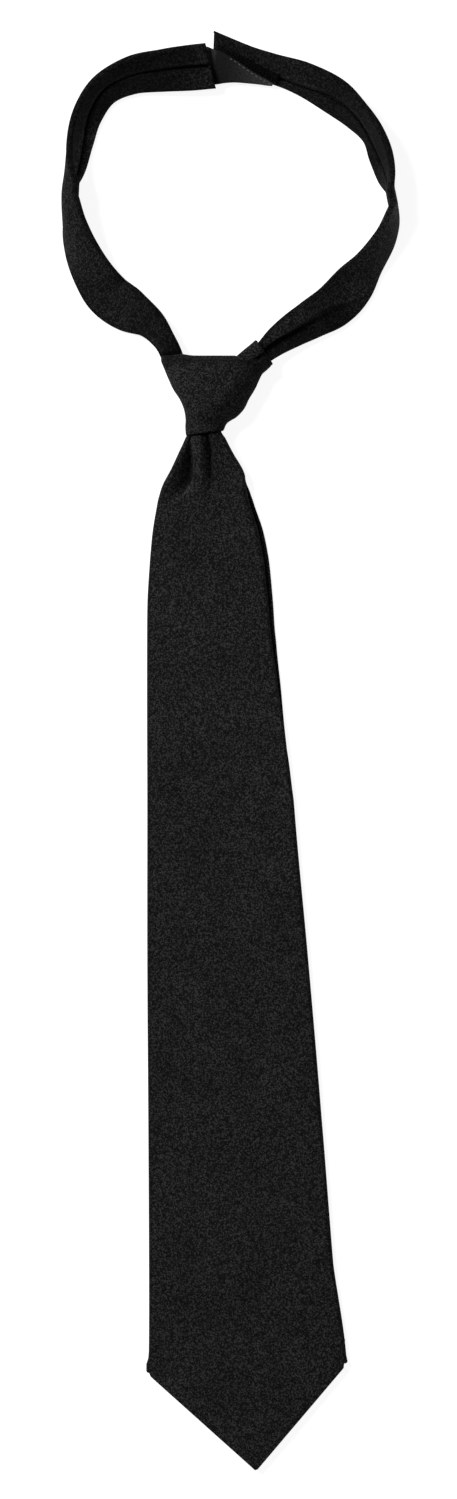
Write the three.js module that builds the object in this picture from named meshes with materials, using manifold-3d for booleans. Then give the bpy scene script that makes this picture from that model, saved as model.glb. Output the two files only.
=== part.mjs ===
// A hook-and-loop necktie, lying front up on a flat surface.
// Millimetres, +Z up. The surface is z = 0, +Y runs from the blade's tip to the back of the neck.

import * as THREE from 'three';
import { mergeVertices } from 'three/addons/utils/BufferGeometryUtils.js';
import Module from 'manifold-3d';

const wasm = await Module();
wasm.setup();

// Driving dimensions
const clearance = 0.35; // between pieces that lie against each other
const weldDistance = 1e-4; // points nearer than this are one point
const cutPast = 0.4; // how far a cut runs on behind the wall that it opens
const cutBefore = 1; // and how far before it

const bladeWall = 1.2; // one layer of the blade, cloth and interlining
const bladeCrown = 0.5; // how much higher the middle of the front is than its edges
const bladeSeam = 0.8; // open slit between the two back flaps
const hemWidth = 9; // turned-in hem along the two edges of the tip

const knotWall = 1.5; // cloth wrap of the knot
const knotFullness = 2.6; // exponent of the knot's section: 2 is an ellipse, more is squarer

const bandThick = 3; // folded neckband
const bandSeamWidth = 0.9; // groove of the seam along the neckband's inner face
const bandSeamDepth = 0.5;
const bandSteps = 40; // sections along each neckband

const tapeThick = 1; // hook tape and loop tape

const blackCloth = { color: 0x1d1d1f, roughness: 0.9, metalness: 0 };
const blackHooks = { color: 0x141416, roughness: 0.95, metalness: 0 };
const greyTape = { color: 0x36363a, roughness: 0.7, metalness: 0 };

// The blade from inside the knot to the level of its lower corners. left and right are its
// outline, under is how far the turned-under layer shows past the front on the right, back is
// the height of its back, thick its thickness and pleat the depth of its two valleys.
const bladeRows = [
  { y: 146.0, left: -16.6, right: -4.2, under: 0.0, back: 4.6, thick: 7.0, pleat: 2.4 },
  { y: 138.0, left: -16.6, right: -4.0, under: 0.0, back: 4.4, thick: 7.2, pleat: 2.6 },
  { y: 131.5, left: -16.8, right: -3.8, under: 0.0, back: 4.2, thick: 7.4, pleat: 2.8 },
  { y: 128.2, left: -18.4, right: -1.7, under: 0.0, back: 3.7, thick: 8.0, pleat: 3.2 },
  { y: 121.8, left: -21.3, right: 1.6, under: 0.0, back: 2.8, thick: 8.0, pleat: 3.4 },
  { y: 115.6, left: -24.2, right: 5.3, under: 0.0, back: 1.9, thick: 7.6, pleat: 3.0 },
  { y: 109.5, left: -27.5, right: 7.4, under: 0.6, back: 1.2, thick: 7.0, pleat: 2.2 },
  { y: 103.3, left: -29.5, right: 9.4, under: 1.7, back: 0.7, thick: 6.4, pleat: 1.3 },
  { y: 91.0, left: -31.6, right: 13.5, under: 2.1, back: 0.2, thick: 5.6, pleat: 0.4 },
  { y: 78.7, left: -32.8, right: 16.0, under: 2.2, back: 0.0, thick: 5.0, pleat: 0.0 },
  { y: 62.3, left: -33.8, right: 17.6, under: 2.0, back: 0.0, thick: 4.6, pleat: 0.0 },
  { y: 45.9, left: -34.0, right: 18.9, under: 1.7, back: 0.0, thick: 4.4, pleat: 0.0 },
  { y: 13.1, left: -34.0, right: 22.5, under: 0.6, back: 0.0, thick: 4.2, pleat: 0.0 },
  { y: -20.0, left: -33.9, right: 26.2, under: 0.0, back: 0.0, thick: 4.1, pleat: 0.0 },
  { y: -85.3, left: -33.9, right: 32.1, under: 0.0, back: 0.0, thick: 4.0, pleat: 0.0 },
  { y: -150.0, left: -33.5, right: 37.6, under: 0.0, back: 0.0, thick: 4.0, pleat: 0.0 },
  { y: -210.0, left: -33.2, right: 42.4, under: 0.0, back: 0.0, thick: 4.0, pleat: 0.0 },
  { y: -250.5, left: -33.4, right: 48.2, under: 0.0, back: 0.0, thick: 4.0, pleat: 0.0 },
];
const bladeFlatFrom = 9; // from this row on, the back lies on the surface
const bladeSteps = 30;
const edgeShare = 0.45; // most of the width that one rounded side edge takes
const shoulderIn = 0.3; // where a side edge turns, as a share of its radius
const shoulderUp = 0.72; // and of half the thickness
const underLevel = -0.15; // height of the turned-under layer's edge, and
const frontLevel = 0.1; // of the front's edge, as shares of half the thickness
const valleys = [
  { at: -0.74, spread: 0.17, share: 0.85 },
  { at: 0.04, spread: 0.13, share: 1.0 },
];
const frontPoints = 15; // across the blade's front

// The pointed tip, in plan.
const cornerLeft = new THREE.Vector2(-33.5, -254.4);
const cornerRight = new THREE.Vector2(48.2, -250.5);
const tip = new THREE.Vector2(10.7, -294.6);
const tipSteps = 7;
const tipEnd = 1.1; // half the width at which the last section stands
const flapApex = new THREE.Vector2(5.2, -210); // where the two flaps start to part
const flapBend = 0.08; // how far the flaps' parting edges bend towards the apex

// The knot from its top edge to its lower rim, with the heights of its back and front.
const knotRows = [
  { y: 161.4, left: -28.7, right: 9.4, low: 2.4, high: 14.6 },
  { y: 160.0, left: -28.5, right: 11.4, low: 1.2, high: 16.4 },
  { y: 156.4, left: -26.9, right: 13.8, low: 0.0, high: 17.8 },
  { y: 152.3, left: -25.2, right: 12.9, low: 0.0, high: 18.4 },
  { y: 148.2, left: -23.2, right: 11.0, low: 0.0, high: 18.4 },
  { y: 144.2, left: -20.6, right: 8.6, low: 0.2, high: 17.8 },
  { y: 140.2, left: -18.9, right: 6.4, low: 0.8, high: 16.8 },
  { y: 136.1, left: -18.3, right: 2.6, low: 1.6, high: 15.4 },
  { y: 132.8, left: -18.4, right: -0.8, low: 2.2, high: 14.2 },
  { y: 129.6, left: -18.6, right: -1.9, low: 2.5, high: 13.4 },
];
const knotSteps = 13;
const knotPoints = 28; // round the knot
const cavityTop = 159.7; // the knot's hollow reaches from here
const cavityBottom = 134.5; // to here
const channelFrom = -0.3; // rows of a band that its way through the knot covers
const channelTo = 6;
const channelSteps = 18;

// Neckbands from the knot to the fastener. across is the width seen from above, positive
// where the edge nearer the head faces the inside of the loop and negative past the half
// turn where it faces out; the band's real width and across give its tilt. bow is the depth
// of the cupped section, fold that of a lengthwise fold and lift the height of the lower edge.
const leftRows = [
  { x: -19.0, y: 151.4, across: 7.2, width: 8.2, bow: 0.0, fold: 0.0, lift: 6.0 },
  { x: -21.7, y: 156.6, across: 7.4, width: 8.2, bow: 0.3, fold: 0.0, lift: 5.8 },
  { x: -24.2, y: 161.8, across: 8.4, width: 9.2, bow: 0.6, fold: 0.0, lift: 5.2 },
  { x: -27.4, y: 167.9, across: 8.9, width: 10.2, bow: 0.9, fold: 0.3, lift: 4.0 },
  { x: -33.0, y: 175.2, across: 12.8, width: 14.2, bow: 1.0, fold: 0.5, lift: 2.4 },
  { x: -41.8, y: 181.0, across: 18.2, width: 18.8, bow: 0.7, fold: 0.4, lift: 1.0 },
  { x: -50.0, y: 187.2, across: 18.8, width: 19.0, bow: 0.5, fold: 0.0, lift: 0.2 },
  { x: -56.2, y: 195.4, across: 16.9, width: 19.0, bow: 0.9, fold: 0.0, lift: 0.0 },
  { x: -61.2, y: 205.0, across: 14.2, width: 19.0, bow: 1.6, fold: 0.0, lift: 0.0 },
  { x: -64.8, y: 216.0, across: 10.2, width: 19.0, bow: 2.6, fold: 0.0, lift: 0.0 },
  { x: -65.5, y: 227.0, across: 3.6, width: 19.0, bow: 4.0, fold: 0.0, lift: 0.0 },
  { x: -64.4, y: 237.6, across: -6.6, width: 19.0, bow: 3.2, fold: 0.0, lift: 0.0 },
  { x: -62.2, y: 249.6, across: -10.8, width: 19.0, bow: 2.0, fold: 0.0, lift: 0.0 },
  { x: -58.8, y: 260.9, across: -12.0, width: 19.0, bow: 1.4, fold: 0.0, lift: 0.0 },
  { x: -51.8, y: 271.0, across: -12.6, width: 19.0, bow: 1.0, fold: 0.0, lift: 0.4 },
  { x: -40.2, y: 276.8, across: -14.8, width: 19.0, bow: 0.5, fold: 0.0, lift: 2.0 },
  { x: -27.0, y: 278.6, across: -17.0, width: 19.0, bow: 0.2, fold: 0.0, lift: 4.4 },
  { x: -16.2, y: 279.6, across: -18.4, width: 19.0, bow: 0.0, fold: 0.0, lift: 6.2 },
  { x: -7.9, y: 280.5, across: -18.8, width: 19.0, bow: 0.0, fold: 0.0, lift: 6.3 },
];
const leftEndSlant = -0.2; // how far the end is cut back for each millimetre across

const rightRows = [
  { x: 4.6, y: 155.6, across: 8.6, width: 9.6, bow: 0.0, fold: 0.4, lift: 5.6 },
  { x: 9.2, y: 159.2, across: 9.0, width: 10.0, bow: 0.2, fold: 0.8, lift: 5.6 },
  { x: 14.4, y: 162.8, across: 10.0, width: 11.4, bow: 0.4, fold: 1.8, lift: 4.8 },
  { x: 20.4, y: 167.6, across: 12.6, width: 14.2, bow: 0.4, fold: 2.6, lift: 3.4 },
  { x: 26.8, y: 171.8, across: 14.7, width: 16.4, bow: 0.4, fold: 2.6, lift: 2.2 },
  { x: 34.2, y: 176.2, across: 16.7, width: 18.2, bow: 0.4, fold: 2.0, lift: 1.4 },
  { x: 43.0, y: 182.2, across: 18.3, width: 19.0, bow: 0.4, fold: 1.2, lift: 0.6 },
  { x: 50.8, y: 190.4, across: 17.2, width: 19.0, bow: 0.4, fold: 0.5, lift: 0.0 },
  { x: 57.2, y: 199.4, across: 12.2, width: 19.0, bow: 0.8, fold: 0.0, lift: 0.0 },
  { x: 64.2, y: 210.4, across: 9.2, width: 19.0, bow: 1.0, fold: 0.0, lift: 0.0 },
  { x: 66.9, y: 220.4, across: 5.8, width: 19.0, bow: 0.8, fold: 0.0, lift: 0.0 },
  { x: 66.1, y: 227.4, across: -0.6, width: 19.0, bow: 0.8, fold: 0.0, lift: 0.0 },
  { x: 64.5, y: 234.2, across: -6.8, width: 19.0, bow: 0.8, fold: 0.0, lift: 0.0 },
  { x: 62.2, y: 243.4, across: -9.6, width: 19.0, bow: 0.8, fold: 0.0, lift: 0.0 },
  { x: 58.8, y: 252.4, across: -9.2, width: 19.0, bow: 0.6, fold: 0.0, lift: 0.0 },
  { x: 52.2, y: 260.2, across: -11.4, width: 19.0, bow: 0.4, fold: 0.0, lift: 0.0 },
  { x: 42.4, y: 268.6, across: -14.4, width: 18.4, bow: 0.2, fold: 0.0, lift: 0.0 },
  { x: 30.0, y: 275.4, across: -13.2, width: 16.8, bow: 0.0, fold: 0.0, lift: 0.0 },
  { x: 16.6, y: 279.9, across: -11.8, width: 14.2, bow: 0.0, fold: 0.0, lift: 0.0 },
  { x: 4.6, y: 282.6, across: -14.6, width: 15.8, bow: 0.0, fold: 0.0, lift: 0.0 },
  { x: -7.0, y: 284.3, across: -19.4, width: 19.6, bow: 0.0, fold: 0.0, lift: 0.0 },
];
const rightEndSlant = 0.16;
const foldAt = -0.2; // place of the lengthwise fold, from -1 at the lower edge to 1
const foldSpread = 0.22;
const collarSteps = 5; // sections of the lip round the right band's root
const collarStart = 0.4; // rows from the root to the lip's start
const collarEnd = 1.95; // and to its rim
const turnSpan = 0.05; // rows to either side that give a band's direction

// The tapes lie on the inner face of the right band, the hooks first and the loops on them.
// at counts rows of the right band, and past its end the loop tape goes on under the left
// band. low and high are the tape's two edges across the band.
const hookRows = [
  { at: 19.9, low: -7.6, high: 5.6 },
  { at: 19.0, low: -6.2, high: 3.6 },
  { at: 18.3, low: -5.6, high: 1.2 },
  { at: 17.8, low: -5.4, high: 0.2 },
];
const loopRows = [
  { at: 20.7, low: -10.2, high: 3.4 },
  { at: 20.1, low: -10.2, high: 3.2 },
  { at: 19.7, low: -9.2, high: 3.0 },
  { at: 19.0, low: -7.8, high: -0.2 },
  { at: 18.4, low: -6.9, high: -2.4 },
  { at: 18.1, low: -6.5, high: -3.6 },
  { at: 17.92, low: -5.9, high: -4.6 },
];
const tapeSteps = 16;

// Turns a table into smooth functions of its columns. at counts rows, from 0 at the first, and
// past either end a column runs on in a straight line.
function smoothTable(rows) {
  const last = rows.length - 1;
  const column = (name) => {
    const points = rows.map((row, i) => new THREE.Vector3(i, row[name], 0));
    const curve = new THREE.CatmullRomCurve3(points, false, 'catmullrom', 0.5);
    return (at) => {
      const inside = THREE.MathUtils.clamp(at, 0, last);
      const slope = at < 0 ? rows[1][name] - rows[0][name] : rows[last][name] - rows[last - 1][name];
      return curve.getPoint(inside / last).y + (at - inside) * slope;
    };
  };
  const columns = Object.keys(rows[0]).map((name) => [name, column(name)]);
  return (at) => Object.fromEntries(columns.map(([name, value]) => [name, value(at)]));
}

// Equal steps from one number to another, both included.
function steps(from, to, count) {
  return Array.from({ length: count + 1 }, (_, i) => from + ((to - from) * i) / count);
}

// A closed body through sections. Each has an outline of 2-D points and a place function
// that puts such a point in space; all outlines have the same number of points.
function loft(sections) {
  const count = sections[0].outline.length;
  const points = sections.flatMap(({ outline, place }) => outline.map(place));
  const index = [];
  for (let s = 0; s + 1 < sections.length; s += 1) {
    for (let i = 0; i < count; i += 1) {
      const a = s * count + i;
      const b = s * count + ((i + 1) % count);
      index.push(a, b, b + count, a, b + count, a + count);
    }
  }
  const lastRing = (sections.length - 1) * count;
  const caps = [[sections[0], 0, true], [sections[sections.length - 1], lastRing, false]];
  for (const [section, start, flipped] of caps) {
    const clockwise = THREE.ShapeUtils.isClockWise(section.outline);
    for (const face of THREE.ShapeUtils.triangulateShape(section.outline, [])) {
      const [a, b, c] = face.map((i) => i + start);
      index.push(...(flipped === clockwise ? [a, b, c] : [a, c, b]));
    }
  }
  const geometry = new THREE.BufferGeometry().setFromPoints(points);
  geometry.setIndex(index);
  return facingOut(geometry);
}

// Reverses the faces of a closed body that is inside out.
function facingOut(geometry) {
  const position = geometry.attributes.position;
  const index = geometry.index.array;
  const corner = (i) => new THREE.Vector3().fromBufferAttribute(position, index[i]);
  let volume = 0;
  for (let i = 0; i < index.length; i += 3) {
    volume += corner(i).dot(corner(i + 1).cross(corner(i + 2)));
  }
  if (volume < 0) {
    for (let i = 0; i < index.length; i += 3) {
      [index[i + 1], index[i + 2]] = [index[i + 2], index[i + 1]];
    }
  }
  return geometry;
}

// Mesh geometry to a solid that can be cut, and back.
function asSolid(geometry) {
  const bare = geometry.clone();
  bare.deleteAttribute('normal');
  bare.deleteAttribute('uv');
  const merged = mergeVertices(bare, weldDistance);
  return new wasm.Manifold(new wasm.Mesh({
    numProp: 3,
    vertProperties: merged.attributes.position.array,
    triVerts: Uint32Array.from(merged.index.array),
  }));
}

function asGeometry(solid) {
  const mesh = solid.getMesh();
  const geometry = new THREE.BufferGeometry();
  geometry.setAttribute('position', new THREE.BufferAttribute(mesh.vertProperties, 3));
  geometry.setIndex(new THREE.BufferAttribute(mesh.triVerts, 1));
  return geometry;
}

// The blade

// Depth of the gathered front's two valleys at s, from -1 at the left edge to 1.
function pleatDepth(s, depth) {
  return valleys.reduce((sum, { at, spread, share }) => (
    sum + depth * share * Math.exp(-(((s - at) / spread) ** 2))
  ), 0);
}

// Section of the blade at one y. inset moves it inwards, for the hollow, and a negative
// inset outwards, for the room that the knot leaves round it.
function bladeSection({ y, left, right, under, back, thick, pleat }, inset = 0) {
  const from = left + inset;
  const to = right - inset;
  const low = back + inset;
  const high = back + thick - inset;
  const middle = (low + high) / 2;
  const round = Math.min((high - low) / 2, (to - from) * edgeShare);
  const front = to - under;
  const outline = steps(-1, 1, frontPoints - 1).map((s) => {
    const x = THREE.MathUtils.mapLinear(s, -1, 1, from + round, front - round);
    return new THREE.Vector2(x, high + bladeCrown * (1 - s * s) - pleatDepth(s, pleat));
  });
  const halfHeight = middle - low;
  const edge = (x, share) => outline.push(new THREE.Vector2(x, middle + share * halfHeight));
  edge(front - round * shoulderIn, shoulderUp);
  edge(front, frontLevel);
  edge(to, underLevel);
  edge(to - round * shoulderIn, -shoulderUp);
  steps(to - round, from + round, 4).forEach((x) => outline.push(new THREE.Vector2(x, low)));
  edge(from + round * shoulderIn, -shoulderUp);
  edge(from, 0);
  edge(from + round * shoulderIn, shoulderUp);
  return { outline, place: (p) => new THREE.Vector3(p.x, y, p.y) };
}

// Where the straight line from a to b has the height y.
function lineAt(a, b, y) {
  return THREE.MathUtils.mapLinear(y, a.y, b.y, a.x, b.x);
}

// Rows of the tip: below both corners the outline follows the two hems to the point.
function tipRows() {
  const base = bladeRows[bladeRows.length - 1];
  const narrow = (y) => lineAt(cornerRight, tip, y) - lineAt(cornerLeft, tip, y);
  const lastY = THREE.MathUtils.mapLinear(2 * tipEnd, 0, narrow(cornerLeft.y), tip.y, cornerLeft.y);
  return steps(cornerLeft.y, lastY, tipSteps).map((y) => ({
    ...base,
    y,
    left: lineAt(cornerLeft, tip, y),
    right: lineAt(cornerRight, tip, y),
  }));
}

// The blade from a row count to its tip, less the last tipCut sections of the tip.
function bladeBody(inset, fromRow, tipCut) {
  const table = smoothTable(bladeRows);
  const flat = bladeRows.length - 1;
  const rows = steps(fromRow, flat, bladeSteps).map((at) => {
    const row = table(at);
    const back = at >= bladeFlatFrom ? 0 : Math.max(0, row.back);
    return { ...row, back, pleat: Math.max(0, row.pleat) };
  });
  const tail = tipRows();
  const all = [...rows, ...tail.slice(0, tail.length - tipCut)];
  return asSolid(loft(all.map((row) => bladeSection(row, inset))));
}

// The slit between the flaps, down the middle of the back from above its top to the apex.
function seamSlit() {
  const table = smoothTable(bladeRows);
  const rows = steps(0, bladeRows.length - 1, bladeSteps).map(table)
    .filter(({ y }) => y > flapApex.y - cutBefore);
  const first = { ...rows[0], y: rows[0].y + cutBefore };
  const sections = [first, ...rows].map(({ y, left, right, back }) => {
    const middle = (left + right) / 2;
    const low = back - cutBefore;
    const high = back + bladeWall + cutPast;
    const outline = [[-1, low], [1, low], [1, high], [-1, high]].map(([side, z]) => (
      new THREE.Vector2(middle + (side * bladeSeam) / 2, z)
    ));
    return { outline, place: (p) => new THREE.Vector3(p.x, y, p.y) };
  });
  return asSolid(loft(sections));
}

// Below the apex the flaps part and show the inside of the front, framed by the hems.
function flapOpening() {
  const hemAlong = (corner) => corner.clone().sub(tip).normalize();
  const inward = hemAlong(cornerLeft).add(hemAlong(cornerRight));
  const bottom = tip.clone().addScaledVector(inward, hemWidth);
  const side = (corner) => {
    const across = hemAlong(corner === cornerLeft ? cornerRight : cornerLeft);
    return corner.clone().addScaledVector(across, hemWidth).lerp(flapApex, flapBend);
  };
  const shape = new THREE.Shape([flapApex, side(cornerLeft), bottom, side(cornerRight)]);
  const depth = cutBefore + bladeWall + cutPast;
  const geometry = new THREE.ExtrudeGeometry(shape, { depth, bevelEnabled: false });
  geometry.translate(0, 0, -cutBefore);
  return asSolid(geometry);
}

function bladeGeometry() {
  const hollow = bladeBody(bladeWall, -0.5, 2);
  const envelope = bladeBody(0, 0, 0).subtract(hollow);
  return asGeometry(envelope.subtract(seamSlit()).subtract(flapOpening()));
}

// The neckbands

// The place and turn of a band at a row count. side is 1 for the left band and -1 for the
// right one, whose loop lies on the other hand. The lowest point of the section is at lift.
function bandFrame(rows, side, at) {
  const table = smoothTable(rows);
  const row = table(at);
  const before = table(at - turnSpan);
  const after = table(at + turnSpan);
  const along = new THREE.Vector3(after.x - before.x, after.y - before.y, 0).normalize();
  const inward = new THREE.Vector3(along.y, -along.x, 0).multiplyScalar(side);
  const span = row.width - bandThick;
  const flat = THREE.MathUtils.clamp(Math.abs(row.across) - bandThick, 0, span);
  const tilt = Math.acos((Math.sign(row.across) * flat) / span);
  const up = new THREE.Vector3(0, 0, 1);
  const toHead = inward.clone().multiplyScalar(Math.cos(tilt)).addScaledVector(up, Math.sin(tilt));
  const outward = inward.clone().multiplyScalar(-Math.sin(tilt)).addScaledVector(up, Math.cos(tilt));
  const lowest = Math.min(...bandOutline(row, 0).map((p) => p.x * toHead.z + p.y * outward.z));
  const middle = new THREE.Vector3(row.x, row.y, Math.max(0, row.lift) - lowest);
  const place = (p) => middle.clone().addScaledVector(toHead, p.x).addScaledVector(outward, p.y);
  return { row, along, place };
}

// Height of the band's middle layer at q, from -1 at its lower edge to 1 at its head edge.
function bandCurve({ bow, fold }, q) {
  return bow * (0.5 - q * q) - fold * Math.exp(-(((q - foldAt) / foldSpread) ** 2));
}

// Section of a band, outer face up, with the seam's groove in its inner face. grow makes it
// larger on all sides and leaves out the groove.
function bandOutline(row, grow) {
  const half = (row.width - bandThick) / 2;
  const radius = bandThick / 2 + grow;
  const outer = steps(-1, 1, 10).map((q) => new THREE.Vector2(q * half, bandCurve(row, q) + radius));
  const seam = bandSeamWidth / half;
  const inner = [1, 0.7, 0.4, seam, 0, -seam, -0.4, -0.7, -1].map((q) => {
    const groove = q === 0 && grow === 0 ? bandSeamDepth : 0;
    return new THREE.Vector2(q * half, bandCurve(row, q) - radius + groove);
  });
  const edge = (q, angle) => new THREE.Vector2(
    q * (half + radius * Math.cos(angle)),
    bandCurve(row, q) + radius * Math.sin(angle),
  );
  const arc = [Math.PI / 4, 0, -Math.PI / 4];
  const headEdge = arc.map((angle) => edge(1, angle));
  const lowerEdge = arc.map((angle) => edge(-1, -angle));
  return [...outer, ...headEdge, ...inner, ...lowerEdge];
}

// A band between two row counts, grown on all sides for a collar or a channel.
function bandSolid(rows, side, options = {}) {
  const { from = 0, to = rows.length - 1, count = bandSteps } = options;
  const { grow = 0, slant = 0, plain = false } = options;
  const sections = steps(from, to, count).map((at) => {
    const { row, along, place } = bandFrame(rows, side, at);
    const slope = slant * THREE.MathUtils.smoothstep(at, to - 1, to);
    const outline = bandOutline(plain ? { ...row, fold: 0 } : row, grow);
    return { outline, place: (p) => place(p).addScaledVector(along, p.x * slope) };
  });
  return asSolid(loft(sections));
}

// A tape along the right band's inner face; layer 1 lies on the cloth and 2 on layer 1.
function tapeGeometry(rows, layer) {
  const table = smoothTable(rows);
  const near = -bandThick / 2 - layer * clearance - (layer - 1) * tapeThick;
  const far = near - tapeThick;
  const sections = steps(0, rows.length - 1, tapeSteps).map((count) => {
    const { at, low, high } = table(count);
    const corners = [[low, near], [high, near], [high, far], [low, far]];
    const outline = corners.map((corner) => new THREE.Vector2(...corner));
    return { outline, place: bandFrame(rightRows, -1, at).place };
  });
  return loft(sections);
}

// The knot

// Section of the knot, a rounded box between its sides, back and front.
function knotSection({ y, left, right, low, high }, inset) {
  const halfWidth = (right - left) / 2 - inset;
  const halfHeight = (high - low) / 2 - inset;
  const swell = (value) => Math.sign(value) * Math.abs(value) ** (2 / knotFullness);
  const outline = steps(0, 2 * Math.PI, knotPoints).slice(0, knotPoints).map((angle) => new THREE.Vector2(
    (left + right) / 2 + halfWidth * swell(Math.cos(angle)),
    (low + high) / 2 + halfHeight * swell(Math.sin(angle)),
  ));
  return { outline, place: (p) => new THREE.Vector3(p.x, y, p.y) };
}

// The knot between two levels, solid; with an inset it is the hollow inside the wrap.
function knotBody(inset, top, bottom) {
  const table = smoothTable(knotRows);
  const rows = steps(0, knotRows.length - 1, knotSteps).map(table)
    .map((row) => ({ ...row, low: Math.max(0, row.low) }));
  const kept = rows.filter(({ y }) => y < top && y > bottom);
  const atHeight = (y) => {
    const next = rows.findIndex((row) => row.y <= y);
    const share = (rows[next - 1].y - y) / (rows[next - 1].y - rows[next].y);
    const mix = (name) => THREE.MathUtils.lerp(rows[next - 1][name], rows[next][name], share);
    return Object.fromEntries(Object.keys(rows[0]).map((name) => [name, mix(name)]));
  };
  const ends = inset > 0 ? [[atHeight(top)], [atHeight(bottom)]] : [[rows[0]], [rows[rows.length - 1]]];
  return asSolid(loft([...ends[0], ...kept, ...ends[1]].map((row) => knotSection(row, inset))));
}

function knotGeometry() {
  const lip = { from: collarStart, to: collarEnd, count: collarSteps, plain: true };
  const collar = bandSolid(rightRows, -1, { ...lip, grow: knotWall + clearance });
  const outside = knotBody(0, knotRows[0].y, knotRows[knotRows.length - 1].y).add(collar);
  const way = { from: channelFrom, to: channelTo, count: channelSteps, grow: clearance };
  const hollows = [
    bandSolid(leftRows, 1, way),
    bandSolid(rightRows, -1, way),
    bladeBody(-clearance, channelFrom, 0),
    knotBody(knotWall, cavityTop, cavityBottom),
  ];
  return asGeometry(hollows.reduce((body, hollow) => body.subtract(hollow), outside));
}

// The assembly
function clothMesh(name, geometry, finish) {
  const mesh = new THREE.Mesh(geometry, new THREE.MeshStandardMaterial(finish));
  mesh.name = name;
  return mesh;
}

const tie = new THREE.Group();
tie.add(
  clothMesh('blade', bladeGeometry(), blackCloth),
  clothMesh('knot', knotGeometry(), blackCloth),
  clothMesh('neckband_left', asGeometry(bandSolid(leftRows, 1, { slant: leftEndSlant })), blackCloth),
  clothMesh('neckband_right', asGeometry(bandSolid(rightRows, -1, { slant: rightEndSlant })), blackCloth),
  clothMesh('hook_tape', tapeGeometry(hookRows, 1), blackHooks),
  clothMesh('loop_tape', tapeGeometry(loopRows, 2), greyTape),
);

export default tie;
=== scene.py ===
import math
import bpy
import bmesh
from mathutils import Matrix, Vector, noise
from mathutils.bvhtree import BVHTree


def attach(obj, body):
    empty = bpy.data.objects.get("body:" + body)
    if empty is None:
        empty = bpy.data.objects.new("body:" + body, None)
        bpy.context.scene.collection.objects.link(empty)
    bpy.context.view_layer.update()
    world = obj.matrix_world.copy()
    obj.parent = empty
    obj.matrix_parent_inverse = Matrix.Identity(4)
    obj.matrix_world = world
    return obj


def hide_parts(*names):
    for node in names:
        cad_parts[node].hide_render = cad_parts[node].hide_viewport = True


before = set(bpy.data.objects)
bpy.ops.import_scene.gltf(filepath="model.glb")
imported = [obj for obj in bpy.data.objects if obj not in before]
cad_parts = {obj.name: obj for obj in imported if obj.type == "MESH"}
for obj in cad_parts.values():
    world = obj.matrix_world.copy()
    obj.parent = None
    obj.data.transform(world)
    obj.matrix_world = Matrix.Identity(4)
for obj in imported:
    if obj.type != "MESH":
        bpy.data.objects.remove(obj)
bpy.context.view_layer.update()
mm = 0.001  # the tables are in millimetres, the scene is in metres
weld = 0.002  # points of a tube's first and last columns are one within this

# A hook-and-loop necktie lying front up on a table, seen from straight above.
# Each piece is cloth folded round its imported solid: a flat grid, moved to where the sewn cloth lies.


# Small helpers

def hexColour(code):
    channels = [int(code[i:i + 2], 16) / 255 for i in (1, 3, 5)]
    linear = [c / 12.92 if c <= 0.04045 else ((c + 0.055) / 1.055) ** 2.4 for c in channels]
    return (*linear, 1)


def mix(a, b, share):
    return a + (b - a) * share


def clamp(value, low=0.0, high=1.0):
    return max(low, min(high, value))


def smoothStep(value, start, end):
    share = clamp((value - start) / (end - start))
    return share * share * (3 - 2 * share)


# Rows of values under one line of column names.
def table(names, *rows):
    return [dict(zip(names.split(), row)) for row in rows]


# One column of a table at a row count, smooth through the rows and straight on past the ends.
def columnAt(values, at):
    last = len(values) - 1
    inside = clamp(at, 0, last)
    i = min(int(inside), last - 1)
    t = inside - i
    here, there = values[i], values[i + 1]
    before = values[i - 1] if i > 0 else 2 * here - there
    after = values[i + 2] if i + 2 <= last else 2 * there - here
    rise, fall = (there - before) / 2, (after - here) / 2
    curve = here + t * (rise + t * (3 * (there - here) - 2 * rise - fall
                                    + t * (2 * (here - there) + rise + fall)))
    slope = values[1] - values[0] if at < 0 else values[last] - values[last - 1]
    return curve + (at - inside) * slope


def rowAt(rows, at):
    return {name: columnAt([row[name] for row in rows], at) for name in rows[0]}


# The row of a table where a column that falls from row to row has a value.
def rowWhere(rows, name, value):
    last = len(rows) - 1
    for i in range(last):
        here, there = rows[i][name], rows[i + 1][name]
        if value >= there or i == last - 1:
            return rowAt(rows, clamp(i + (here - value) / (here - there), 0, last))


# Points of a round arc in degrees, or of one with another radius upwards.
def arc(centreX, centreZ, radius, start, end, count, rise=None):
    turns = [math.radians(mix(start, end, i / (count - 1))) for i in range(count)]
    return [(centreX + radius * math.cos(a), centreZ + (rise or radius) * math.sin(a)) for a in turns]


def line(fromX, toX, z, count):
    return [(mix(fromX, toX, i / (count - 1)), z) for i in range(count)]


def newObject(name, bm):
    mesh = bpy.data.meshes.new(name)
    bm.to_mesh(mesh)
    bm.free()
    mesh.polygons.foreach_set("use_smooth", [True] * len(mesh.polygons))
    piece = bpy.data.objects.new(name, mesh)
    bpy.context.scene.collection.objects.link(piece)
    return piece


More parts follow.
